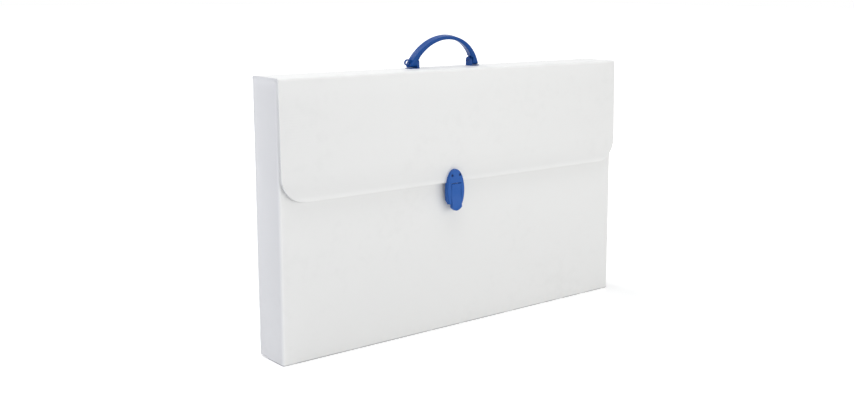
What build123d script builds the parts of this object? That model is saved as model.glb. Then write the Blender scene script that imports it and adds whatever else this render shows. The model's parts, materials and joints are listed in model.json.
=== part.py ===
"""Document carry case: a folded twin-wall plastic board case with a folding handle and a snap lock.

Millimetres. +Z is up, +X runs along the case's width and the front faces -Y.
The origin is the centre of the bottom panel's underside.
"""

import math
import os

from build123d import *

# Case body
case_width = 520.0
case_height = 320.0
case_depth = 52.0
sheet = 3.0
fold_land = 0.2
lid_gap = 0.3
side_corner_cut = 7.0

# Tuck wings inside the case, folded from the side panels
rear_wing_width = 40.0
base_wing_width = 50.0
wing_corner = 12.0
wing_top_inset = 12.0

# Flap, measured down from the front top fold
flap_gap = 0.6
flap_lean = 1.2
flap_length = 136.4
flap_corner_radius = 30.0
tail_gap = 0.2

# Handle, in heights above the top panel and distances from its own middle
handle_x = -7.8
handle_y = 8.0
handle_depth = 11.0
handle_span = 108.0
handle_height = 39.6
handle_lean = 11.5
grip_thickness = 4.4
grip_rounding = 1.8
foot_thickness = 12.8
notch_height = 12.0

# Handle brackets
base_thickness = 1.0
base_overhang = 0.2
base_corner = 1.5
foot_gap = 0.25
lug_step = 1.5
lug_thickness = 3.6
lug_radius = 4.5
lug_side_gap = 0.3
pivot_radius = 1.5
pivot_depth = 6.0
pivot_end_gap = 0.3
running_gap = 0.05
press_gap = 0.01

# Pegs of the brackets and of the keeper, and the plates behind the board
peg_radius = 2.0
peg_hole_gap = 0.2
bracket_peg_spacing = 7.5
handle_backing_thickness = 2.0
handle_backing_margin = 7.0
handle_backing_width = 14.0

# Tag eyelet on the left foot of the handle
eyelet_radius = 3.8
eyelet_hole_radius = 2.6
eyelet_thickness = 2.2
eyelet_height = 7.5
eyelet_reach = 3.0
eyelet_root = 3.0

# Lock frame, an oval round the flap's lower edge
lock_x = -23.0
lock_width = 26.0
lock_height = 51.0
lock_above_edge = 15.9
frame_thickness = 4.8
frame_rounding = 1.2
leg_shortfall = 8.3
leg_edge_gap = 0.4
leg_back = 1.4
slot_drop = 1.0

# Lock lever
lever_width = 14.4
lever_side_gap = 0.5
barrel_radius = 2.0
barrel_gap = 0.6
lever_pin_radius = 1.0
lever_pin_depth = 3.6
lever_pin_end_gap = 0.3
pivot_rise = 3.2
lever_back = 1.4
lever_waist = 0.6
lever_tip_rise = 1.2
lever_waist_drop = 13.0
lever_rise_drop = 27.0

# Lock rivets and the plate behind the flap
rivet_spacing = 12.0
rivet_above_edge = 8.6
rivet_radius = 1.2
rivet_hole_gap = 0.2
rivet_head_radius = 1.6
rivet_head_thickness = 0.6
rivet_recess_radius = 1.8
rivet_recess_depth = 1.5
lock_backing_width = 24.0
lock_backing_height = 12.0
lock_backing_thickness = 1.2

# Keeper on the front panel
keeper_width = 17.0
keeper_height = 16.0
keeper_corner = 5.0
keeper_thickness = 2.2
keeper_peg_spacing = 10.4
keeper_backing_thickness = 1.6
stud_radius = 3.5
stud_drop = 15.0
stud_reach = 3.2
stud_gap = 0.5
stud_drop_gap = 1.6
stud_tip_gap = 0.4
stud_rounding = 0.6

# Worked out from the sizes above
fold_radius = sheet - fold_land
front_y = -case_depth / 2
back_y = case_depth / 2
wall_height = case_height - sheet - lid_gap
inner_width = case_width - 2 * sheet
inner_depth = case_depth - 2 * sheet
fold_y = front_y - flap_gap - sheet
edge_clearance = sheet + lid_gap

foot_bottom = base_thickness + foot_gap
pivot_height = foot_bottom + handle_depth / 2
inner_span = handle_span - 2 * foot_thickness
notch_x = inner_span / 2 - lug_step + lug_thickness + lug_side_gap
lug_inner_x = inner_span / 2 - lug_step
lug_outer_x = lug_inner_x + lug_thickness

lean = math.radians(flap_lean)
outward = (0, -math.cos(lean), math.sin(lean))
tilt = math.radians(handle_lean)
outward_axis = Axis((0, 0, 0), outward)
lock_top_drop = flap_length - lock_above_edge
lock_centre_drop = lock_top_drop + lock_height / 2
slot_top_drop = flap_length + slot_drop
lever_pivot_drop = slot_top_drop + barrel_gap + barrel_radius
leg_end_drop = lock_top_drop + lock_height - leg_shortfall
rivet_drop = flap_length - rivet_above_edge

# Planes: the flap's outer face hangs from the front top fold and leans out at the bottom,
# and the handle leans forward about its pivot while its brackets stand upright
flap_face = Plane(origin=(0, fold_y, case_height), x_dir=(1, 0, 0), z_dir=outward)
lock_face = Plane(
    origin=flap_face.from_local_coords((lock_x, -lock_centre_drop, 0)), x_dir=(1, 0, 0), z_dir=outward
)
lever_side = Plane(
    origin=flap_face.from_local_coords((lock_x, -lever_pivot_drop, pivot_rise)),
    x_dir=outward,
    z_dir=(1, 0, 0),
)
stud_tip = flap_face.from_local_coords((lock_x, -(lever_pivot_drop + stud_drop), stud_reach))
handle_side = Plane(
    origin=(handle_x, handle_y, case_height + pivot_height), x_dir=(0, 1, 0), z_dir=(1, 0, 0)
)
handle_section = Plane(
    origin=handle_side.origin, x_dir=(0, math.cos(tilt), math.sin(tilt)), z_dir=(1, 0, 0)
)
handle_front = Plane(
    origin=handle_section.from_local_coords((0, -pivot_height, 0)),
    x_dir=(1, 0, 0),
    z_dir=(0, -math.cos(tilt), -math.sin(tilt)),
)

os.makedirs("parts", exist_ok=True)


# Bottom panel
with BuildPart() as bottom_panel:
    with BuildSketch():
        Rectangle(inner_width, inner_depth)
    extrude(amount=sheet)
bottom_panel.part.label = "bottom_panel"
export_step(bottom_panel.part, "parts/bottom_panel.step")


# Front panel, with its side and bottom folds rounded and the keeper's peg holes
with BuildPart() as front_panel:
    with BuildSketch(Plane.XZ.offset(case_depth / 2 - sheet)):
        with Locations((0, wall_height / 2)):
            Rectangle(case_width, wall_height)
    extrude(amount=sheet)
    outer_edges = front_panel.edges().filter_by_position(Axis.Y, front_y, front_y)
    fillet(outer_edges.filter_by(Axis.Z) + outer_edges.filter_by(Axis.X).sort_by(Axis.Z)[:1], fold_radius)
    with BuildSketch(Plane.XZ.offset(case_depth / 2)):
        with Locations((lock_x, stud_tip.Z)):
            with GridLocations(keeper_peg_spacing, 0, 2, 1):
                Circle(peg_radius + peg_hole_gap)
    extrude(amount=-sheet, mode=Mode.SUBTRACT)
front_panel.part.label = "front_panel"
export_step(front_panel.part, "parts/front_panel.step")


# Back panel
with BuildPart() as back_panel:
    with BuildSketch(Plane.XZ.offset(-case_depth / 2)):
        with Locations((0, wall_height / 2)):
            Rectangle(case_width, wall_height)
    extrude(amount=sheet)
    outer_edges = back_panel.edges().filter_by_position(Axis.Y, back_y, back_y)
    fillet(outer_edges.filter_by(Axis.Z) + outer_edges.filter_by(Axis.X).sort_by(Axis.Z)[:1], fold_radius)
back_panel.part.label = "back_panel"
export_step(back_panel.part, "parts/back_panel.step")


# Side panels, each with the cut corner of the sheet at its lower back
for side_name, side in (("left", -1), ("right", 1)):
    with BuildPart() as side_panel:
        with BuildSketch(Plane.YZ.offset(side * case_width / 2)) as side_outline:
            with Locations((0, wall_height / 2)):
                Rectangle(inner_depth, wall_height)
            corner = side_outline.vertices().sort_by(Axis.Y)[:2].sort_by(Axis.X)[-1:]
            chamfer(corner, side_corner_cut)
        extrude(amount=-side * sheet)
    side_panel.part.label = f"{side_name}_side"
    export_step(side_panel.part, f"parts/{side_name}_side.step")


# Rear wings, folded in behind the back panel
for side_name, side in (("left", -1), ("right", 1)):
    wing_bottom = 2 * sheet + lid_gap
    wing_top = wall_height - wing_top_inset
    with BuildPart() as rear_wing:
        with BuildSketch(Plane.XZ.offset(-inner_depth / 2)) as wing_outline:
            with Locations((side * (inner_width - rear_wing_width) / 2, (wing_bottom + wing_top) / 2)):
                Rectangle(rear_wing_width, wing_top - wing_bottom)
            free_corners = wing_outline.vertices().sort_by(Axis.X)[::side][:2]
            fillet(free_corners, wing_corner)
        extrude(amount=sheet)
    rear_wing.part.label = f"{side_name}_rear_wing"
    export_step(rear_wing.part, f"parts/{side_name}_rear_wing.step")


# Base wings, folded in over the bottom panel
for side_name, side in (("left", -1), ("right", 1)):
    base_wing_depth = inner_depth - sheet - 2 * lid_gap
    with BuildPart() as base_wing:
        with BuildSketch(Plane.XY.offset(sheet)) as wing_outline:
            with Locations((side * (inner_width - base_wing_width) / 2, -sheet / 2)):
                Rectangle(base_wing_width, base_wing_depth)
            free_corners = wing_outline.vertices().sort_by(Axis.X)[::side][:2]
            fillet(free_corners, wing_corner)
        extrude(amount=sheet)
    base_wing.part.label = f"{side_name}_base_wing"
    export_step(base_wing.part, f"parts/{side_name}_base_wing.step")


# Keeper: a plate on the front panel with a stud for the lever and two pegs through the board
with BuildPart() as keeper_plate:
    with BuildSketch(Plane.XZ.offset(case_depth / 2)):
        with Locations((lock_x, stud_tip.Z)):
            RectangleRounded(keeper_width, keeper_height, keeper_corner)
    extrude(amount=keeper_thickness)
    with BuildSketch(Plane.XZ.offset(case_depth / 2)):
        with Locations((lock_x, stud_tip.Z)):
            Circle(stud_radius)
    extrude(amount=front_y - stud_tip.Y)
    fillet(keeper_plate.edges().group_by(Axis.Y)[0], stud_rounding)
    with BuildSketch(Plane.XZ.offset(case_depth / 2)):
        with Locations((lock_x, stud_tip.Z)):
            with GridLocations(keeper_peg_spacing, 0, 2, 1):
                Circle(peg_radius)
    extrude(amount=-(sheet + keeper_backing_thickness))
keeper_plate.part.label = "keeper_plate"
export_step(keeper_plate.part, "parts/keeper_plate.step")


# Plate inside the front panel that the keeper's pegs are pressed into
with BuildPart() as keeper_backing:
    with BuildSketch(Plane.XZ.offset(case_depth / 2 - sheet)):
        with Locations((lock_x, stud_tip.Z)):
            RectangleRounded(keeper_width, keeper_height, keeper_corner)
            with GridLocations(keeper_peg_spacing, 0, 2, 1):
                Circle(peg_radius + press_gap, mode=Mode.SUBTRACT)
    extrude(amount=-keeper_backing_thickness)
keeper_backing.part.label = "keeper_backing"
export_step(keeper_backing.part, "parts/keeper_backing.step")


# Top panel, from the back top fold to the front top fold, with the brackets' peg holes
top_depth = back_y - tail_gap - fold_y
top_middle = (back_y - tail_gap + fold_y) / 2
bracket_middle = (lug_inner_x + handle_span / 2) / 2
with BuildPart() as top_panel:
    with BuildSketch(Plane.XY.offset(case_height - sheet)):
        with Locations((0, top_middle)):
            Rectangle(case_width, top_depth)
    extrude(amount=sheet)
    fillet(top_panel.edges().filter_by(Axis.X).group_by(Axis.Z)[-1], fold_radius)
    with BuildSketch(Plane.XY.offset(case_height)):
        with Locations((handle_x - bracket_middle, handle_y), (handle_x + bracket_middle, handle_y)):
            with GridLocations(bracket_peg_spacing, 0, 2, 1):
                Circle(peg_radius + peg_hole_gap)
    extrude(amount=-sheet, mode=Mode.SUBTRACT)
top_panel.part.label = "top_panel"
export_step(top_panel.part, "parts/top_panel.step")


# Strip under the top panel that the brackets' pegs are pressed into
with BuildPart() as handle_backing:
    with BuildSketch(Plane.XY.offset(case_height - sheet)):
        with Locations((handle_x, handle_y)):
            RectangleRounded(
                handle_span + 2 * handle_backing_margin, handle_backing_width, handle_backing_width / 3
            )
        with Locations((handle_x - bracket_middle, handle_y), (handle_x + bracket_middle, handle_y)):
            with GridLocations(bracket_peg_spacing, 0, 2, 1):
                Circle(peg_radius + press_gap, mode=Mode.SUBTRACT)
    extrude(amount=-handle_backing_thickness)
handle_backing.part.label = "handle_backing"
export_step(handle_backing.part, "parts/handle_backing.step")


# Brackets: a foot plate, a round-topped lug on its inner side and two pegs through the board
base_inner_x = lug_inner_x - base_overhang
base_outer_x = handle_span / 2 + base_overhang
for side_name, side in (("left", -1), ("right", 1)):
    with BuildPart() as bracket:
        with BuildSketch(Plane.XY.offset(case_height)):
            with Locations((handle_x + side * (base_inner_x + base_outer_x) / 2, handle_y)):
                RectangleRounded(base_outer_x - base_inner_x, handle_depth, base_corner)
        extrude(amount=base_thickness)
        with BuildSketch(handle_side.offset(side * lug_inner_x)):
            Circle(lug_radius)
            with Locations((0, -pivot_height)):
                Rectangle(2 * lug_radius, pivot_height, align=(Align.CENTER, Align.MIN))
            Circle(pivot_radius + press_gap, mode=Mode.SUBTRACT)
        extrude(amount=side * lug_thickness)
        with BuildSketch(Plane.XY.offset(case_height)):
            with Locations((handle_x + side * bracket_middle, handle_y)):
                with GridLocations(bracket_peg_spacing, 0, 2, 1):
                    Circle(peg_radius)
        extrude(amount=-(sheet + handle_backing_thickness))
    bracket.part.label = f"{side_name}_bracket"
    export_step(bracket.part, f"parts/{side_name}_bracket.step")


# Pivot pins, pressed into the lugs and running in the handle's feet
with BuildPart() as pivot_pins:
    for side in (-1, 1):
        with BuildSketch(handle_side.offset(side * lug_inner_x)):
            Circle(pivot_radius)
        extrude(amount=side * (notch_x + pivot_depth - pivot_end_gap - lug_inner_x))
pivot_pins.part.label = "pivot_pins"
export_step(pivot_pins.part, "parts/pivot_pins.step")


# Handle, leaning forward: an arch that thins towards its top, on two feet with round bottoms
with BuildPart() as handle:
    with BuildSketch(handle_front):
        with BuildLine():
            ThreePointArc(
                (-handle_span / 2, foot_bottom), (0, handle_height), (handle_span / 2, foot_bottom)
            )
            Line((handle_span / 2, foot_bottom), (inner_span / 2, foot_bottom))
            Line((inner_span / 2, foot_bottom), (inner_span / 2, notch_height))
            ThreePointArc(
                (inner_span / 2, notch_height),
                (0, handle_height - grip_thickness),
                (-inner_span / 2, notch_height),
            )
            Line((-inner_span / 2, notch_height), (-inner_span / 2, foot_bottom))
            Line((-inner_span / 2, foot_bottom), (-handle_span / 2, foot_bottom))
        make_face()
    extrude(amount=handle_depth / 2, both=True)
    fillet(handle.edges().filter_by(GeomType.CIRCLE), grip_rounding)
    with BuildSketch(handle_front):
        Rectangle(2 * notch_x, notch_height, align=(Align.CENTER, Align.MIN))
    extrude(amount=handle_depth, both=True, mode=Mode.SUBTRACT)
    with BuildSketch(handle_section):
        Circle(handle_depth / 2)
        Rectangle(handle_depth, handle_height, align=(Align.CENTER, Align.MIN))
    extrude(amount=handle_span, both=True, mode=Mode.INTERSECT)
    with BuildSketch(handle_front):
        with Locations((-handle_span / 2 - eyelet_reach + eyelet_radius / 2, eyelet_height)):
            Circle(eyelet_radius)
            Rectangle(eyelet_reach + eyelet_root, 2 * eyelet_radius, align=(Align.MIN, Align.CENTER))
            Circle(eyelet_hole_radius, mode=Mode.SUBTRACT)
    extrude(amount=eyelet_thickness / 2, both=True)
    for side in (-1, 1):
        with BuildSketch(handle_side.offset(side * notch_x)):
            Circle(pivot_radius + running_gap)
        extrude(amount=side * pivot_depth, mode=Mode.SUBTRACT)
handle.part.label = "handle"
export_step(handle.part, "parts/handle.step")


# Flap, hanging from the front top fold, with the lock's rivet holes
with BuildPart() as flap:
    with BuildSketch(flap_face) as flap_outline:
        with Locations((0, -edge_clearance)):
            Rectangle(case_width, flap_length - edge_clearance, align=(Align.CENTER, Align.MAX))
        fillet(flap_outline.vertices().group_by(Axis.Y)[0], flap_corner_radius)
        with Locations((lock_x, -rivet_drop)):
            with GridLocations(rivet_spacing, 0, 2, 1):
                Circle(rivet_radius + rivet_hole_gap, mode=Mode.SUBTRACT)
    extrude(amount=-sheet)
flap.part.label = "flap"
export_step(flap.part, "parts/flap.step")


# Lock frame: an oval with two legs below the flap's edge and a slot between them for the lever
slot_width = lever_width + 2 * lever_side_gap
slot_top = lock_centre_drop - slot_top_drop
leg_top = lock_centre_drop - flap_length - leg_edge_gap
leg_bottom = lock_centre_drop - leg_end_drop
rivet_level = lock_centre_drop - rivet_drop
with BuildPart() as lock_frame:
    with BuildSketch(lock_face.offset(-leg_back)):
        Ellipse(lock_width / 2, lock_height / 2)
    extrude(amount=frame_thickness + leg_back)
    fillet(lock_frame.faces().sort_by(outward_axis)[-1].edges(), frame_rounding)
    with BuildSketch(lock_face):
        with Locations((0, leg_bottom)):
            Rectangle(2 * lock_width, lock_height, align=(Align.CENTER, Align.MAX))
    extrude(amount=2 * frame_thickness, both=True, mode=Mode.SUBTRACT)
    with BuildSketch(lock_face):
        with Locations((0, leg_top)):
            Rectangle(2 * lock_width, lock_height, align=(Align.CENTER, Align.MIN))
    extrude(amount=-2 * sheet, mode=Mode.SUBTRACT)
    with BuildSketch(lock_face):
        with Locations((0, slot_top)):
            Rectangle(slot_width, lock_height, align=(Align.CENTER, Align.MAX))
    extrude(amount=frame_thickness + sheet, both=True, mode=Mode.SUBTRACT)
    with BuildSketch(lever_side):
        Circle(lever_pin_radius + press_gap)
    extrude(amount=slot_width / 2 + lever_pin_depth, both=True, mode=Mode.SUBTRACT)
    with BuildSketch(lock_face):
        with Locations((0, rivet_level)):
            with GridLocations(rivet_spacing, 0, 2, 1):
                Circle(rivet_radius + press_gap)
    extrude(amount=frame_thickness, mode=Mode.SUBTRACT)
    with BuildSketch(lock_face.offset(frame_thickness - rivet_recess_depth)):
        with Locations((0, rivet_level)):
            with GridLocations(rivet_spacing, 0, 2, 1):
                Circle(rivet_recess_radius)
    extrude(amount=rivet_recess_depth, mode=Mode.SUBTRACT)
lock_frame.part.label = "lock_frame"
export_step(lock_frame.part, "parts/lock_frame.step")


# Lock rivets, sunk in the frame and closed behind the backing plate
rivet_head_seat = frame_thickness - rivet_recess_depth
rivet_tail_seat = sheet + lock_backing_thickness
with BuildPart() as lock_rivets:
    with BuildSketch(lock_face.offset(rivet_head_seat)):
        with Locations((0, rivet_level)):
            with GridLocations(rivet_spacing, 0, 2, 1):
                Circle(rivet_head_radius)
    extrude(amount=rivet_head_thickness)
    with BuildSketch(lock_face.offset(rivet_head_seat)):
        with Locations((0, rivet_level)):
            with GridLocations(rivet_spacing, 0, 2, 1):
                Circle(rivet_radius)
    extrude(amount=-(rivet_head_seat + rivet_tail_seat))
    with BuildSketch(lock_face.offset(-rivet_tail_seat)):
        with Locations((0, rivet_level)):
            with GridLocations(rivet_spacing, 0, 2, 1):
                Circle(rivet_head_radius)
    extrude(amount=-rivet_head_thickness)
lock_rivets.part.label = "lock_rivets"
export_step(lock_rivets.part, "parts/lock_rivets.step")


# Plate behind the flap that spreads the rivets' load
with BuildPart() as lock_backing:
    with BuildSketch(lock_face.offset(-sheet)):
        with Locations((0, rivet_level)):
            RectangleRounded(lock_backing_width, lock_backing_height, lock_backing_height / 3)
            with GridLocations(rivet_spacing, 0, 2, 1):
                Circle(rivet_radius + press_gap, mode=Mode.SUBTRACT)
    extrude(amount=-lock_backing_thickness)
lock_backing.part.label = "lock_backing"
export_step(lock_backing.part, "parts/lock_backing.step")


# Lever pin, pressed into blind holes in the frame's legs
with BuildPart() as lever_pin:
    with BuildSketch(lever_side):
        Circle(lever_pin_radius)
    extrude(amount=slot_width / 2 + lever_pin_depth - lever_pin_end_gap, both=True)
lever_pin.part.label = "lever_pin"
export_step(lever_pin.part, "parts/lever_pin.step")


# Lock lever: a barrel round the pin, a waisted blade and a finger lip, trimmed to the lock's oval
lever_length = lock_top_drop + lock_height - lever_pivot_drop
back_line = lever_back - pivot_rise
pin_level = lock_centre_drop - lever_pivot_drop
with BuildPart() as lock_lever:
    with BuildSketch(lever_side):
        with BuildLine():
            Line((back_line, 0), (back_line, lever_length))
            Line((back_line, lever_length), (barrel_radius, lever_length))
            Line((barrel_radius, lever_length), (barrel_radius + lever_tip_rise, lever_rise_drop))
            Spline(
                (barrel_radius + lever_tip_rise, lever_rise_drop),
                (barrel_radius - lever_waist, lever_waist_drop),
                (barrel_radius, 0),
                tangents=((0, -1), (0, -1)),
            )
            Line((barrel_radius, 0), (back_line, 0))
        make_face()
        Circle(barrel_radius)
    extrude(amount=lever_width / 2, both=True)
    with BuildSketch(lock_face):
        Ellipse(lock_width / 2, lock_height / 2)
    extrude(amount=lock_height, both=True, mode=Mode.INTERSECT)
    with BuildSketch(lever_side):
        Circle(lever_pin_radius + running_gap)
    extrude(amount=lever_width, both=True, mode=Mode.SUBTRACT)
    pocket_top = stud_drop - stud_radius - stud_gap
    pocket_bottom = stud_drop + stud_radius + stud_drop_gap
    with BuildSketch(lock_face.offset(lever_back)):
        with Locations((0, pin_level - (pocket_top + pocket_bottom) / 2)):
            SlotOverall(pocket_bottom - pocket_top, 2 * (stud_radius + stud_gap), rotation=90)
    extrude(amount=stud_reach - lever_back + stud_tip_gap, mode=Mode.SUBTRACT)
lock_lever.part.label = "lock_lever"
export_step(lock_lever.part, "parts/lock_lever.step")
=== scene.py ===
"""Document carry case: white twin-wall board, a blue carrying handle and a blue oval snap lock."""

import json
import math

import bmesh
import bpy
from mathutils import Matrix, Vector

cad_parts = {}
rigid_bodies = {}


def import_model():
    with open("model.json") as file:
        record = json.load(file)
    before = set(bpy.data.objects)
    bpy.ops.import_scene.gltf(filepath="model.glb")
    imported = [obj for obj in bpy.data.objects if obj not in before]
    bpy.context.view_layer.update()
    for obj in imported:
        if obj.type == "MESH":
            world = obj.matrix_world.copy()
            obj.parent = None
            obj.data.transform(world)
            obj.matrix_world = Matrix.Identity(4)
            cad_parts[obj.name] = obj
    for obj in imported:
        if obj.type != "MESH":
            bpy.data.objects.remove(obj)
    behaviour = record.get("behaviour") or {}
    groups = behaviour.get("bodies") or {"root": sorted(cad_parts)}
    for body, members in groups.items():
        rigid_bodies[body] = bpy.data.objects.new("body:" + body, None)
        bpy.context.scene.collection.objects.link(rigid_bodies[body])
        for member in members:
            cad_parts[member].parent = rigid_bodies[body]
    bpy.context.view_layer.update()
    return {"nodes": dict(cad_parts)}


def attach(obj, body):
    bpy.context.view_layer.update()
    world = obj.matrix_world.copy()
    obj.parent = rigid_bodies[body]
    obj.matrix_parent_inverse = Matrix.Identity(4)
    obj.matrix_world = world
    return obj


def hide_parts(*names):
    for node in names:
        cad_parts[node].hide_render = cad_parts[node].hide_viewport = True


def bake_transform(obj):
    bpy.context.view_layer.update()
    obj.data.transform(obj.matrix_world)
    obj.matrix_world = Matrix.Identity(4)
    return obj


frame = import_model()

MM = 0.001

# Sizes of the real case, in millimetres
HALF_WIDTH = 260.0
WALL_TOP = 316.7
CASE_TOP = 320.0
FRONT = -26.0
BACK = 26.0
SHEET = 3.0
FOLD_WIDTH = 2.8
REAR_FOLD_WIDTH = 1.3
LOW_FOLD_WIDTH = 1.8
LID_FRONT = -26.66
LID_BACK = 22.7
FLAP_FOLD_Y = -29.6
FLAP_LENGTH = 136.4
FLAP_LEAN = math.radians(1.2)
FLAP_CORNER = 30.0
FLUTE_PITCH = 3.2
FLUTE_WALL = 0.4
CORNER_RISE = 1.8
WEB_OUTER = 2.97
WEB_INNER = 0.4
WEB_STEPS = 10
WEB_TAIL = 1.2

# Where the board goes softly whiter or darker, in millimetres from the middle or up from the ground:
# crease whitening with painted highlight, painted glow, and painted contact shadow
WIDTH_CREASE_FADE = (HALF_WIDTH - 3.8, HALF_WIDTH - 1.8)
DEPTH_CREASE_FADE = (BACK - 3.8, BACK - 1.8)
CUT_END_FADE = (HALF_WIDTH - 1.0, HALF_WIDTH - 0.4)
LID_LIGHT_FADE = (302.0, 317.5)
CONTACT_SHADOW_FADE = (1.6, 0.4)
FLAP_FOLD_FADE = (285.0, 316.0)
FLAP_FOLD_GLOW = 0.35
FLAP_EDGE = CASE_TOP - FLAP_LENGTH
FLAP_RIM = 7.0

# Colours of the board: plain, crease white with painted highlight and glow, the fold strips' crease white
# with painted highlight, and painted contact shadow where it meets the ground
BOARD = (0.82, 0.82, 0.815)
CREASE_WHITE_AND_PAINTED_LIGHT = (0.87, 0.87, 0.865)
FOLD_WHITE_AND_HIGHLIGHT = (0.86, 0.86, 0.855)
PAINTED_CONTACT_SHADOW = (0.36, 0.36, 0.37)


# Helpers for modelling


def start_edit(piece, select_by):
    """Opens one piece in edit mode with nothing selected."""
    if bpy.context.mode != "OBJECT":
        bpy.ops.object.mode_set(mode="OBJECT")
    bpy.ops.object.select_all(action="DESELECT")
    piece.select_set(True)
    bpy.context.view_layer.objects.active = piece
    bpy.ops.object.mode_set(mode="EDIT")
    bpy.ops.mesh.select_mode(type=select_by)
    bpy.ops.mesh.select_all(action="DESELECT")


def end_edit():
    """Leaves edit mode."""
    bpy.ops.object.mode_set(mode="OBJECT")


def pick_edges(piece, wanted):
    """Selects the edges whose middle point and direction, in millimetres, pass the test."""
    start_edit(piece, "EDGE")
    mesh = bmesh.from_edit_mesh(piece.data)
    for edge in mesh.edges:
        a, b = (v.co / MM for v in edge.verts)
        edge.select_set(bool(wanted((a + b) / 2, (b - a).normalized())))
    bmesh.update_edit_mesh(piece.data)


def pick_sharp_edges(piece, angle, wanted=lambda middle: True):
    """Selects the edges that turn by more than the angle, in degrees."""
    start_edit(piece, "EDGE")
    mesh = bmesh.from_edit_mesh(piece.data)
    for edge in mesh.edges:
        middle = (edge.verts[0].co + edge.verts[1].co) / 2 / MM
        sharp = len(edge.link_faces) == 2 and edge.calc_face_angle() > math.radians(angle)
        edge.select_set(sharp and bool(wanted(middle)))
    bmesh.update_edit_mesh(piece.data)


def pick_faces(piece, wanted):
    """Selects the faces whose middle point, in millimetres, and normal pass the test."""
    start_edit(piece, "FACE")
    mesh = bmesh.from_edit_mesh(piece.data)
    for face in mesh.faces:
        face.select_set(bool(wanted(face.calc_center_median() / MM, face.normal)))
    bmesh.update_edit_mesh(piece.data)


def slice_piece(piece, axis, place):
    """Cuts a new ring of edges through a piece, at a place in millimetres along an axis."""
    cut, normal = Vector(), Vector()
    cut[axis], normal[axis] = place * MM, 1
    start_edit(piece, "FACE")
    bpy.ops.mesh.select_all(action="SELECT")
    bpy.ops.mesh.bisect(plane_co=cut, plane_no=normal)


def move_corners(piece, wanted, shift):
    """Moves the vertices whose place, in millimetres, passes the test."""
    start_edit(piece, "VERT")
    mesh = bmesh.from_edit_mesh(piece.data)
    for vertex in mesh.verts:
        vertex.select_set(bool(wanted(vertex.co / MM)))
    mesh.select_flush_mode()
    bmesh.update_edit_mesh(piece.data)
    bpy.ops.transform.translate(value=tuple(distance * MM for distance in shift))
    end_edit()


def tidy(piece):
    """Merges doubles and turns the faces outwards."""
    start_edit(piece, "VERT")
    bpy.ops.mesh.select_all(action="SELECT")
    bpy.ops.mesh.remove_doubles(threshold=0.00001)
    bpy.ops.mesh.normals_make_consistent(inside=False)
    end_edit()


def block(name, low, high):
    """A block between two corners given in millimetres."""
    low, high = Vector(low) * MM, Vector(high) * MM
    bpy.ops.object.select_all(action="DESELECT")
    bpy.ops.mesh.primitive_cube_add(size=1, location=(low + high) / 2)
    piece = bpy.context.object
    piece.name = name
    piece.data.name = name
    piece.scale = high - low
    bpy.ops.object.transform_apply(location=True, rotation=True, scale=True)
    return piece


def bevel(width, segments, profile=0.5):
    """Bevels the selected edges by a width in millimetres."""
    bpy.ops.mesh.bevel(
        offset=width * MM, segments=segments, profile=profile, affect="EDGES", clamp_overlap=True
    )


def smooth(piece, angle=35):
    """Smooth shading that keeps edges sharper than the angle."""
    bpy.ops.object.select_all(action="DESELECT")
    piece.select_set(True)
    bpy.context.view_layer.objects.active = piece
    bpy.ops.object.shade_smooth_by_angle(angle=math.radians(angle))


def dress(piece, material, body, slot, *nodes):
    """Gives a finished piece its material, the body it rides on and the solids it stands for."""
    piece.data.materials.clear()
    piece.data.materials.append(material)
    if body:
        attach(piece, body)
    if nodes:
        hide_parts(*nodes)


# Helpers for materials


def add_node(tree, kind, **settings):
    """A new node with its settings."""
    node = tree.nodes.new(kind)
    for key, value in settings.items():
        setattr(node, key, value)
    return node


def calculate(tree, operation, first, second=None, third=None):
    """A Math node whose inputs are sockets or plain numbers."""
    node = add_node(tree, "ShaderNodeMath", operation=operation)
    for index, value in enumerate((first, second, third)):
        if value is None:
            continue
        if isinstance(value, (int, float)):
            node.inputs[index].default_value = value
        else:
            tree.links.new(value, node.inputs[index])
    return node.outputs[0]


def new_group(name, inputs, outputs):
    """An empty shader node group with named inputs and outputs."""
    group = bpy.data.node_groups.new(name, "ShaderNodeTree")
    for label, kind, value in inputs:
        socket = group.interface.new_socket(name=label, in_out="INPUT", socket_type=kind)
        socket.default_value = value
    for label, kind in outputs:
        group.interface.new_socket(name=label, in_out="OUTPUT", socket_type=kind)
    return group, add_node(group, "NodeGroupInput"), add_node(group, "NodeGroupOutput")


def place_group(tree, group, **values):
    """Places a group in a material with its own values."""
    node = add_node(tree, "ShaderNodeGroup", node_tree=group)
    for label, value in values.items():
        node.inputs[label.replace("_", " ")].default_value = value
    return node


def new_material(name, roughness, specular):
    """A material with one Principled shader, and its tree and shader."""
    material = bpy.data.materials.new(name)
    material.use_nodes = True
    tree = material.node_tree
    shader = tree.nodes["Principled BSDF"]
    shader.inputs["Roughness"].default_value = roughness
    shader.inputs["Specular IOR Level"].default_value = specular
    return material, tree, shader


def make_flute_group():
    """Ribs of the twin-wall board, one above the other on upright faces and side by side on level ones."""
    group, entry, exit_node = new_group(
        "flute_ribs", [("Pitch", "NodeSocketFloat", FLUTE_PITCH * MM)], [("Ribs", "NodeSocketFloat")]
    )
    where = add_node(group, "ShaderNodeTexCoord")
    point = add_node(group, "ShaderNodeSeparateXYZ")
    facing = add_node(group, "ShaderNodeSeparateXYZ")
    group.links.new(where.outputs["Object"], point.inputs[0])
    group.links.new(where.outputs["Normal"], facing.inputs[0])
    level = calculate(group, "GREATER_THAN", calculate(group, "ABSOLUTE", facing.outputs["Z"]), 0.7)
    upright = calculate(group, "SUBTRACT", 1.0, level)
    across = calculate(
        group,
        "ADD",
        calculate(group, "MULTIPLY", point.outputs["Z"], upright),
        calculate(group, "MULTIPLY", point.outputs["Y"], level),
    )
    ribs = calculate(group, "DIVIDE", across, entry.outputs["Pitch"])
    wave = calculate(group, "COSINE", calculate(group, "MULTIPLY", ribs, 2 * math.pi))
    group.links.new(calculate(group, "MULTIPLY_ADD", wave, 0.5, 0.5), exit_node.inputs["Ribs"])
    return group


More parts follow.
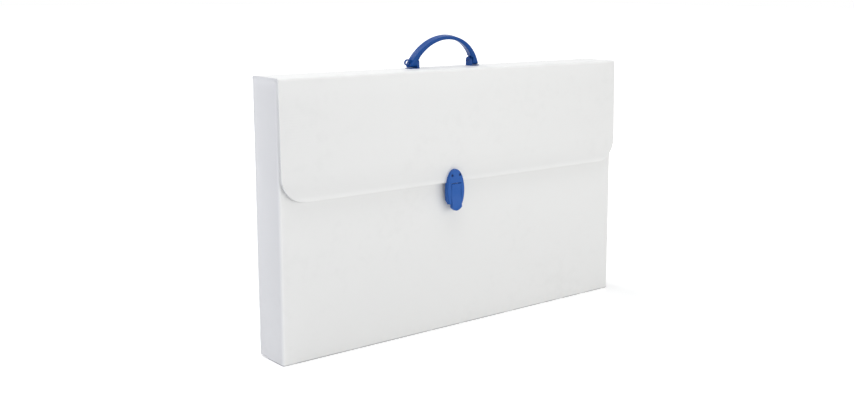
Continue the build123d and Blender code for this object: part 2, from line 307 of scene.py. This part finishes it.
def make_grain_group():
    """Fine grain of moulded or extruded plastic, from 0 to 1."""
    group, entry, exit_node = new_group(
        "surface_grain",
        [("Scale", "NodeSocketFloat", 900.0), ("Detail", "NodeSocketFloat", 2.0)],
        [("Grain", "NodeSocketFloat")],
    )
    where = add_node(group, "ShaderNodeTexCoord")
    noise = add_node(group, "ShaderNodeTexNoise")
    group.links.new(where.outputs["Object"], noise.inputs["Vector"])
    group.links.new(entry.outputs["Scale"], noise.inputs["Scale"])
    group.links.new(entry.outputs["Detail"], noise.inputs["Detail"])
    group.links.new(noise.outputs["Fac"], exit_node.inputs["Grain"])
    return group


def make_scuff_group():
    """Faint handling marks: thin patches where broad noise and fine noise meet, from 0 to 1."""
    fine_scale, least, steepness = 9.0, 0.42, 6.0
    group, entry, exit_node = new_group(
        "handling_marks",
        [("Scale", "NodeSocketFloat", 12.0), ("Cover", "NodeSocketFloat", 0.35)],
        [("Marks", "NodeSocketFloat")],
    )
    where = add_node(group, "ShaderNodeTexCoord")
    broad = add_node(group, "ShaderNodeTexNoise")
    fine = add_node(group, "ShaderNodeTexNoise")
    fine.inputs["Detail"].default_value = 4.0
    group.links.new(where.outputs["Object"], broad.inputs["Vector"])
    group.links.new(where.outputs["Object"], fine.inputs["Vector"])
    group.links.new(entry.outputs["Scale"], broad.inputs["Scale"])
    finer = calculate(group, "MULTIPLY", entry.outputs["Scale"], fine_scale)
    group.links.new(finer, fine.inputs["Scale"])
    both = calculate(group, "MULTIPLY", broad.outputs["Fac"], fine.outputs["Fac"])
    limit = calculate(group, "SUBTRACT", 1.0, entry.outputs["Cover"])
    raised = calculate(group, "SUBTRACT", both, calculate(group, "MULTIPLY", limit, least))
    spread = add_node(group, "ShaderNodeMath", operation="MULTIPLY", use_clamp=True)
    group.links.new(raised, spread.inputs[0])
    spread.inputs[1].default_value = steepness
    group.links.new(spread.outputs[0], exit_node.inputs["Marks"])
    return group


def ramp_mask(tree, value, start, stop):
    """A mask that goes softly from 0 at the start to 1 at the stop."""
    node = add_node(tree, "ShaderNodeMapRange", interpolation_type="SMOOTHSTEP")
    tree.links.new(value, node.inputs["Value"])
    node.inputs["From Min"].default_value = start
    node.inputs["From Max"].default_value = stop
    return node.outputs["Result"]


def fade_mask(tree, place, fade):
    """The same mask along a coordinate, between two places in millimetres."""
    start, stop = fade
    return ramp_mask(tree, place, start * MM, stop * MM)


def make_crease_group():
    """Where the board is whiter: crease whitening with a painted highlight along upright folds, and a
    painted glow under the lid and at cut ends. The other mask is a painted contact shadow, a dark line
    where it stands on the ground."""
    group, entry, exit_node = new_group(
        "crease_white_and_painted_light",
        [
            ("Folds", "NodeSocketFloat", 1.0),
            ("Lid Light", "NodeSocketFloat", 1.0),
            ("Ends", "NodeSocketFloat", 0.0),
        ],
        [("White", "NodeSocketFloat"), ("Painted Shadow", "NodeSocketFloat")],
    )
    where = add_node(group, "ShaderNodeTexCoord")
    point = add_node(group, "ShaderNodeSeparateXYZ")
    group.links.new(where.outputs["Object"], point.inputs[0])
    from_middle = calculate(group, "ABSOLUTE", point.outputs["X"])
    across = fade_mask(group, from_middle, WIDTH_CREASE_FADE)
    depth = calculate(group, "ABSOLUTE", point.outputs["Y"])
    along = fade_mask(group, depth, DEPTH_CREASE_FADE)
    corners = calculate(group, "MULTIPLY", across, along)
    folds = calculate(group, "MULTIPLY", corners, entry.outputs["Folds"])
    # Painted glow: the boards lighter towards the lid, standing in for light through the board
    under_lid = fade_mask(group, point.outputs["Z"], LID_LIGHT_FADE)
    high = calculate(group, "POWER", under_lid, 2.0)
    light = calculate(group, "MULTIPLY", high, entry.outputs["Lid Light"])
    # Painted glow and highlight at the cut ends
    end = fade_mask(group, from_middle, CUT_END_FADE)
    cut = calculate(group, "MULTIPLY", end, entry.outputs["Ends"])
    whiter = calculate(group, "MAXIMUM", calculate(group, "MAXIMUM", folds, light), cut)
    group.links.new(whiter, exit_node.inputs["White"])
    # Painted contact shadow: an uneven dark line where the board stands on the ground
    patches = add_node(group, "ShaderNodeTexNoise")
    patches.inputs["Scale"].default_value = 45.0
    group.links.new(where.outputs["Object"], patches.inputs["Vector"])
    uneven = ramp_mask(group, patches.outputs["Fac"], 0.2, 0.5)
    standing = fade_mask(group, point.outputs["Z"], CONTACT_SHADOW_FADE)
    group.links.new(calculate(group, "MULTIPLY", standing, uneven), exit_node.inputs["Painted Shadow"])
    return group


def make_rim_group():
    """Where the flap is whiter: a painted highlight a few millimetres above its lower edge, and a painted
    glow near its fold.
    """
    group, entry, exit_node = new_group(
        "painted_flap_light",
        [
            ("Edge", "NodeSocketFloat", FLAP_EDGE * MM),
            ("Width", "NodeSocketFloat", FLAP_RIM * MM),
            ("Near Fold", "NodeSocketFloat", FLAP_FOLD_GLOW),
        ],
        [("White", "NodeSocketFloat")],
    )
    where = add_node(group, "ShaderNodeTexCoord")
    point = add_node(group, "ShaderNodeSeparateXYZ")
    group.links.new(where.outputs["Object"], point.inputs[0])
    height = calculate(group, "SUBTRACT", point.outputs["Z"], entry.outputs["Edge"])
    above = calculate(group, "DIVIDE", height, entry.outputs["Width"])
    lower = ramp_mask(group, above, 1.0, 0.1)
    near = fade_mask(group, point.outputs["Z"], FLAP_FOLD_FADE)
    upper = calculate(group, "MULTIPLY", near, entry.outputs["Near Fold"])
    group.links.new(calculate(group, "MAXIMUM", lower, upper), exit_node.inputs["White"])
    return group


FLUTES = make_flute_group()
GRAIN = make_grain_group()
MARKS = make_scuff_group()
CREASES_AND_PAINTED_LIGHT = make_crease_group()
FLAP_PAINTED_LIGHT = make_rim_group()


def blend_colour(tree, mask, first, second):
    """A colour that goes from the first to the second with the mask; each is a colour or a socket."""
    mix = add_node(tree, "ShaderNodeMix", data_type="RGBA")
    tree.links.new(mask, mix.inputs["Factor"])
    for socket, value in (("A", first), ("B", second)):
        colour_inputs = [i for i in mix.inputs if i.name == socket and i.type == "RGBA"]
        if isinstance(value, tuple):
            colour_inputs[0].default_value = (*value, 1)
        else:
            tree.links.new(value, colour_inputs[0])
    return [o for o in mix.outputs if o.type == "RGBA"][0]


def raise_surface(tree, shader, height, distance):
    """Gives the shader a bumpy surface, whose height of 1 stands for the distance in metres."""
    bump = add_node(tree, "ShaderNodeBump")
    bump.inputs["Strength"].default_value = 1.0
    bump.inputs["Distance"].default_value = distance
    tree.links.new(height, bump.inputs["Height"])
    tree.links.new(bump.outputs["Normal"], shader.inputs["Normal"])


def make_board(name, ribs, folds=0.0, lid_light=0.0, ends=0.0, rim=False, colour=BOARD):
    """White twin-wall board: satin, faintly ribbed, a little wavy, whiter where it was creased with
    painted highlights and glow, and with a painted contact shadow at the ground.
    """
    mark_strength, mark_shade, relief = 0.35, 0.93, 1.2 * MM
    smoothest, rough_spread, fine_relief = 0.36, 0.12, 0.006
    material, tree, shader = new_material(name, 0.42, 0.4)
    marks = place_group(tree, MARKS, Scale=9.0, Cover=0.3)
    grain = place_group(tree, GRAIN, Scale=1400.0, Detail=2.0)
    wavy = place_group(tree, GRAIN, Scale=14.0, Detail=1.0)
    handled = calculate(tree, "MULTIPLY", marks.outputs["Marks"], mark_strength)
    worn = blend_colour(tree, handled, colour, tuple(mark_shade * c for c in colour))
    if rim:
        white = place_group(
            tree, FLAP_PAINTED_LIGHT, Edge=FLAP_EDGE * MM, Width=FLAP_RIM * MM, Near_Fold=FLAP_FOLD_GLOW
        )
    else:
        white = place_group(tree, CREASES_AND_PAINTED_LIGHT, Folds=folds, Lid_Light=lid_light, Ends=ends)
    # Crease white with a painted highlight, and painted glow, from the masks
    shown = blend_colour(tree, white.outputs["White"], worn, CREASE_WHITE_AND_PAINTED_LIGHT)
    if not rim:
        # Painted contact shadow along the ground
        shown = blend_colour(tree, white.outputs["Painted Shadow"], shown, PAINTED_CONTACT_SHADOW)
    tree.links.new(shown, shader.inputs["Base Color"])
    rough = calculate(tree, "MULTIPLY_ADD", grain.outputs["Grain"], rough_spread, smoothest)
    tree.links.new(rough, shader.inputs["Roughness"])
    fine = calculate(tree, "MULTIPLY", grain.outputs["Grain"], fine_relief)
    height = calculate(tree, "ADD", wavy.outputs["Grain"], fine)
    if ribs:
        lines = place_group(tree, FLUTES, Pitch=FLUTE_PITCH * MM)
        height = calculate(tree, "ADD", height, calculate(tree, "MULTIPLY", lines.outputs["Ribs"], ribs))
    raise_surface(tree, shader, height, relief)
    return material


def make_plastic(name, colour, worn, roughness, specular):
    """Moulded plastic with a fine grain and faint handling marks."""
    mark_strength, mark_roughness, relief = 0.3, 0.08, 0.02 * MM
    material, tree, shader = new_material(name, roughness, specular)
    marks = place_group(tree, MARKS, Scale=60.0, Cover=0.35)
    grain = place_group(tree, GRAIN, Scale=2600.0, Detail=2.0)
    worn_places = calculate(tree, "MULTIPLY", marks.outputs["Marks"], mark_strength)
    tree.links.new(blend_colour(tree, worn_places, colour, worn), shader.inputs["Base Color"])
    rough = calculate(tree, "MULTIPLY_ADD", marks.outputs["Marks"], mark_roughness, roughness)
    tree.links.new(rough, shader.inputs["Roughness"])
    raise_surface(tree, shader, grain.outputs["Grain"], relief)
    return material


board_white = make_board("board_white", 0.02, folds=1.0)
side_white = make_board("side_white", 0.02, folds=1.0, lid_light=1.0)
lid_white = make_board("lid_white", 0.02, ends=1.8)
flap_white = make_board("flap_white", 0.02, rim=True)
# Fold strips: crease white with a painted highlight
fold_white_and_highlight = make_board("fold_white_and_highlight", 0.0, colour=FOLD_WHITE_AND_HIGHLIGHT)
lock_blue = make_plastic("lock_blue", (0.027, 0.112, 0.405), (0.05, 0.14, 0.46), 0.36, 0.12)
# A darker copy of the lock's plastic: painted shade on the handle and its brackets
shaded_handle_blue = make_plastic("shaded_handle_blue", (0.010, 0.066, 0.270), (0.02, 0.08, 0.29), 0.30, 0.13)
white_plastic = make_plastic("white_plastic", (0.76, 0.77, 0.78), (0.7, 0.71, 0.72), 0.4, 0.4)
dark_plastic = make_plastic("dark_plastic", (0.008, 0.03, 0.13), (0.02, 0.04, 0.15), 0.35, 0.15)


# Boards of the case


def crease(piece, wanted, width=FOLD_WIDTH):
    """Rounds the folded edges."""
    pick_edges(piece, wanted)
    bevel(width, 5, 0.45)
    end_edit()


def soften(piece):
    """Breaks the remaining sharp edges."""
    pick_sharp_edges(piece, 25)
    bevel(0.25, 2)
    end_edit()


def raise_corner(piece, axis, start, stop):
    """Lifts a board's lower edge a little at its rear corners, past a short slope along the axis."""
    sides = (-1, 1) if axis == 0 else (1,)
    for place in (start, stop):
        for side in sides:
            slice_piece(piece, axis, side * place)

    def past_slope(point):
        along = abs(point[axis]) if axis == 0 else point[axis]
        return along > stop - 0.01 and point.z < 2.5

    move_corners(piece, past_slope, (0, 0, CORNER_RISE))


def dent_corner(piece):
    """Small dents in the lower part of the rear left fold, each from one height to another."""
    fold_start, dents = -252.5, ((33.5, 48.5, 0.7), (40.5, 41.5, 0.9), (-0.1, 15.0, 0.6), (-0.1, 3.0, 0.5))
    for height in (14.0, 24.0, 34.0, 41.0, 48.0, 58.0):
        slice_piece(piece, 2, height)
    for place in (-252.0, -246.0):
        slice_piece(piece, 0, place)
    for low, high, depth in dents:

        def in_fold(point):
            return point.x < fold_start and point.y > BACK - 1.5 and low < point.z < high

        move_corners(piece, in_fold, (0, -depth, 0))


def make_front_board():
    """The front panel, with rounded folds at its corners and along the ground."""
    piece = block("front_board", (-HALF_WIDTH, FRONT, 0), (HALF_WIDTH, FRONT + SHEET, WALL_TOP))
    crease(piece, lambda m, d: m.y < FRONT + 0.1 and abs(d.z) > 0.9)
    crease(piece, lambda m, d: m.y < FRONT + 0.1 and abs(d.x) > 0.9 and m.z < 0.1, LOW_FOLD_WIDTH)
    soften(piece)
    smooth(piece)
    dress(piece, board_white, "case_body", "case_board", "front_panel")


def make_back_board():
    """The back panel, with tighter folds, and raised and dented at its lower corners."""
    piece = block("back_board", (-HALF_WIDTH, BACK - SHEET, 0), (HALF_WIDTH, BACK, WALL_TOP))
    crease(piece, lambda m, d: m.y > BACK - 0.1 and abs(d.z) > 0.9, REAR_FOLD_WIDTH)
    crease(piece, lambda m, d: m.y > BACK - 0.1 and abs(d.x) > 0.9 and m.z < 0.1, LOW_FOLD_WIDTH)
    soften(piece)
    raise_corner(piece, 0, HALF_WIDTH - 15, HALF_WIDTH - 10)
    dent_corner(piece)
    smooth(piece)
    dress(piece, board_white, "case_body", "case_board", "back_panel")


def make_side_board(name, side, node):
    """A side panel, between the front and the back."""
    outer, inner, reach_to_lid = side * HALF_WIDTH, side * (HALF_WIDTH - SHEET), 0.25
    low = (min(outer, inner), FRONT + SHEET, 0)
    high = (max(outer, inner), BACK - SHEET, WALL_TOP + reach_to_lid)
    piece = block(name, low, high)
    soften(piece)
    raise_corner(piece, 1, 8.0, 10.5)
    smooth(piece)
    dress(piece, side_white, "case_body", "case_board", node)


def open_flutes(piece, axis, start, stop, depth, wanted):
    """Cuts the board's end into cells and sinks each one, so that the flutes show as open channels."""
    cells = round((stop - start) / FLUTE_PITCH)
    for i in range(1, cells):
        slice_piece(piece, axis, start + (stop - start) * i / cells)
    pick_faces(piece, wanted)
    bpy.ops.mesh.inset(
        thickness=FLUTE_WALL * MM, depth=-depth * MM, use_individual=True, use_even_offset=True
    )
    end_edit()


def make_top_board():
    """The top panel, with open flutes at both ends."""
    low, high = (-HALF_WIDTH, LID_FRONT, CASE_TOP - SHEET), (HALF_WIDTH, LID_BACK, CASE_TOP)
    piece = block("top_board", low, high)
    first, last, flute_depth = -26.2, 22.2, 0.25
    open_flutes(piece, 1, first, last, flute_depth, lambda m, n: abs(n.x) > 0.9 and first < m.y < last)
    smooth(piece)
    dress(piece, lid_white, "lid", "case_board", "top_panel")


def make_flap_board():
    """The flap, with rounded lower corners and open flutes, leaning a little forward."""
    fold_height, edge_break, plain_height, flute_depth = 2.96, 0.3, 13.0, 0.5
    low = (-HALF_WIDTH, FLAP_FOLD_Y, FLAP_EDGE)
    high = (HALF_WIDTH, FLAP_FOLD_Y + SHEET, CASE_TOP - fold_height)
    piece = block("flap_board", low, high)
    pick_edges(piece, lambda m, d: abs(d.y) > 0.9 and m.z < low[2] + 1)
    bevel(FLAP_CORNER, 14)
    end_edit()
    pick_sharp_edges(piece, 40, lambda middle: middle.z < high[2] - 0.1)
    bevel(edge_break, 2)
    end_edit()
    side_top, side_low = high[2] - plain_height, low[2] + FLAP_CORNER
    middle_y = FLAP_FOLD_Y + SHEET / 2

    def cut_edge(m, n):
        return abs(n.y) < 0.2 and abs(n.x) > 0.35 and m.z < side_top and abs(m.y - middle_y) < 0.2

    open_flutes(piece, 2, side_low, side_top, flute_depth, cut_edge)
    start_edit(piece, "VERT")
    bpy.ops.mesh.select_all(action="SELECT")
    bpy.ops.transform.rotate(
        value=FLAP_LEAN, orient_axis="X", orient_type="GLOBAL",
        center_override=(0, FLAP_FOLD_Y * MM, CASE_TOP * MM),
    )
    end_edit()
    smooth(piece)
    dress(piece, flap_white, "front_flap", "case_board", "flap")


def start_web(name, centre):
    """The start of a fold that bends between two boards: an upright strip over its centre."""
    y, z = centre
    bpy.ops.object.select_all(action="DESELECT")
    bpy.ops.mesh.primitive_plane_add(
        size=1,
        location=(0, y * MM, (z + (WEB_OUTER + WEB_INNER) / 2) * MM),
        rotation=(math.pi / 2, 0, 0),
    )
    piece = bpy.context.object
    piece.name = name
    piece.data.name = name
    piece.scale = (2 * (HALF_WIDTH - 0.1) * MM, (WEB_OUTER - WEB_INNER) * MM, 1)
    bpy.ops.object.transform_apply(location=True, rotation=True, scale=True)
    start_edit(piece, "FACE")
    bpy.ops.mesh.select_all(action="SELECT")
    return piece


def spin_web(centre, angle):
    """Spins the selected end of the strip round the fold's centre."""
    y, z = centre
    bpy.ops.mesh.spin(steps=WEB_STEPS, angle=angle, center=(0, y * MM, z * MM), axis=(1, 0, 0))


def extend_web(y, z):
    """Runs the selected end on into the board, by millimetres."""
    bpy.ops.mesh.extrude_region_move(TRANSFORM_OT_translate={"value": (0, y * MM, z * MM)})


def make_front_fold():
    """The fold between the top panel and the flap."""
    centre = (-26.662, 317.0)
    piece = start_web("front_fold", centre)
    extend_web(WEB_TAIL, 0)
    pick_faces(piece, lambda m, n: m.y < centre[0] + 0.01 and abs(n.y) > 0.9)
    spin_web(centre, FLAP_LEAN - math.pi / 2)
    extend_web(-math.sin(FLAP_LEAN) * WEB_TAIL, -math.cos(FLAP_LEAN) * WEB_TAIL)
    tidy(piece)
    smooth(piece)
    dress(piece, fold_white_and_highlight, None, "case_board")
    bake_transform(piece)


def make_back_fold():
    """The fold between the back panel and the top panel."""
    centre = (23.0, 317.0)
    piece = start_web("back_fold", centre)
    extend_web(-WEB_TAIL, 0)
    pick_faces(piece, lambda m, n: m.y > centre[0] - 0.01 and abs(n.y) > 0.9)
    spin_web(centre, math.pi / 2)
    extend_web(0, -1.4)
    tidy(piece)
    smooth(piece)
    dress(piece, fold_white_and_highlight, None, "case_board")
    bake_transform(piece)


make_front_board()
make_back_board()
make_side_board("left_board", -1, "left_side")
make_side_board("right_board", 1, "right_side")
make_top_board()
make_flap_board()
make_front_fold()
make_back_fold()

inner_boards = ("bottom_panel", "left_rear_wing", "right_rear_wing", "left_base_wing", "right_base_wing")
node_finishes = (
    (board_white, inner_boards),
    (white_plastic, ("keeper_backing", "handle_backing", "lock_backing")),
    (lock_blue, ("keeper_plate", "lock_frame", "lock_lever")),
    (shaded_handle_blue, ("handle", "left_bracket", "right_bracket")),
    (dark_plastic, ("pivot_pins", "lock_rivets", "lever_pin")),
)
for material, node_names in node_finishes:
    for node_name in node_names:
        node = frame["nodes"][node_name]
        node.data.materials.clear()
        node.data.materials.append(material)


# Floor, light and camera


def seen_directly(tree):
    """A mask that is 1 for what the camera sees, also in a reflection or through something clear."""
    rays = add_node(tree, "ShaderNodeLightPath")
    seen = calculate(tree, "MAXIMUM", rays.outputs["Is Camera Ray"], rays.outputs["Is Glossy Ray"])
    return calculate(tree, "MAXIMUM", seen, rays.outputs["Is Transmission Ray"])


def make_floor():
    """A white floor that keeps the case's shadow and glows to plain white further off."""
    bpy.ops.object.select_all(action="DESELECT")
    bpy.ops.mesh.primitive_plane_add(size=40, location=(0, 0, 0))
    floor = bpy.context.object
    floor.name = "studio_floor"
    material = bpy.data.materials.new("floor_white")
    material.use_nodes = True
    tree = material.node_tree
    shader = tree.nodes["Principled BSDF"]
    shader.inputs["Base Color"].default_value = (0.88, 0.88, 0.88, 1)
    shader.inputs["Roughness"].default_value = 0.9
    shader.inputs["Specular IOR Level"].default_value = 0.1
    seen = seen_directly(tree)
    where = add_node(tree, "ShaderNodeTexCoord")
    distance = add_node(tree, "ShaderNodeVectorMath", operation="LENGTH")
    tree.links.new(where.outputs["Object"], distance.inputs[0])
    near_edge, far_edge, near_glow = 0.35, 1.6, 0.32
    far = ramp_mask(tree, distance.outputs["Value"], near_edge, far_edge)
    strength = calculate(tree, "MULTIPLY_ADD", far, 1.0 - near_glow, near_glow)
    glow = add_node(tree, "ShaderNodeEmission")
    tree.links.new(calculate(tree, "MULTIPLY", seen, strength), glow.inputs["Strength"])
    both = add_node(tree, "ShaderNodeAddShader")
    tree.links.new(shader.outputs[0], both.inputs[0])
    tree.links.new(glow.outputs[0], both.inputs[1])
    tree.links.new(both.outputs[0], tree.nodes["Material Output"].inputs["Surface"])
    floor.data.materials.append(material)


def make_world():
    """Soft light from all round, in front of a plain white background."""
    world = bpy.data.worlds.new("studio")
    bpy.context.scene.world = world
    world.use_nodes = True
    tree = world.node_tree
    tree.nodes.clear()
    seen = seen_directly(tree)
    ambient = add_node(tree, "ShaderNodeBackground")
    ambient.inputs["Color"].default_value = (0.97, 0.985, 1.0, 1)
    ambient.inputs["Strength"].default_value = 0.342
    white = add_node(tree, "ShaderNodeBackground")
    white.inputs["Color"].default_value = (1, 1, 1, 1)
    white.inputs["Strength"].default_value = 1.0
    mix = add_node(tree, "ShaderNodeMixShader")
    tree.links.new(seen, mix.inputs[0])
    tree.links.new(ambient.outputs[0], mix.inputs[1])
    tree.links.new(white.outputs[0], mix.inputs[2])
    output = add_node(tree, "ShaderNodeOutputWorld")
    tree.links.new(mix.outputs[0], output.inputs["Surface"])


def softbox(name, place, aim, width, height, power, colour=(1, 1, 1)):
    """A rectangle of soft light that looks from its place to the aim."""
    lamp = bpy.data.lights.new(name, "AREA")
    lamp.shape = "RECTANGLE"
    lamp.size, lamp.size_y = width, height
    lamp.energy = power
    lamp.color = colour
    holder = bpy.data.objects.new(name, lamp)
    bpy.context.scene.collection.objects.link(holder)
    holder.location = place
    direction = Vector(aim) - Vector(place)
    holder.rotation_euler = direction.to_track_quat("-Z", "Y").to_euler()


def make_camera():
    """The photograph's camera: turned about the middle of the case, then shifted and moved back."""
    azimuth, elevation, roll = (math.radians(a) for a in (-40.71, 9.63, 0.41))
    middle, right_shift, up_shift, distance = Vector((0, 0, 160)), 47.38, 27.43, 1376.01
    picture_width, picture_height, focal_length = 854, 410, 1096.05
    centre_x, centre_y, sensor = 489.68, 172.8, 36.0
    back = Vector(
        (
            math.sin(azimuth) * math.cos(elevation),
            -math.cos(azimuth) * math.cos(elevation),
            math.sin(elevation),
        )
    )
    right = Vector((0, 0, 1)).cross(back).normalized()
    up = back.cross(right)
    turned_right = right * math.cos(roll) + up * math.sin(roll)
    turned_up = up * math.cos(roll) - right * math.sin(roll)
    place = (middle + turned_right * right_shift + turned_up * up_shift + back * distance) * MM
    lens = bpy.data.cameras.new("photo_camera")
    lens.sensor_width = sensor
    lens.lens = focal_length / picture_width * sensor
    lens.shift_x = (picture_width / 2 - centre_x) / picture_width
    lens.shift_y = (centre_y - picture_height / 2) / picture_width
    camera = bpy.data.objects.new("photo_camera", lens)
    bpy.context.scene.collection.objects.link(camera)
    axes = Matrix((turned_right, turned_up, back)).transposed()
    camera.matrix_world = Matrix.Translation(place) @ axes.to_4x4()
    bpy.context.scene.camera = camera


# The objects that a new Blender file starts with
for leftover in [o for o in bpy.data.objects if o.name in ("Cube", "Light", "Camera")]:
    bpy.data.objects.remove(leftover)

make_floor()
make_world()
case_middle, lid_height = (0, 0, 0.16), (0, 0, 0.3)
softbox("key", (-0.35, -3.1, 0.55), case_middle, 2.6, 1.1, 20.0, (1.0, 1.0, 0.97))
softbox("right_front", (1.6, -2.4, 0.5), case_middle, 2.2, 1.0, 15.8, (1.0, 0.99, 0.97))
softbox("overhead", (-0.3, -0.05, 2.1), lid_height, 2.0, 1.4, 23.0)
softbox("left_side", (-2.4, 0.3, 0.7), (-0.2, 0, 0.16), 1.2, 1.2, 7.5, (0.70, 0.74, 1.0))
softbox("back", (-0.5, 2.2, 1.9), lid_height, 1.1, 0.7, 22.0)
make_camera()
bpy.context.scene.view_settings.view_transform = "Standard"
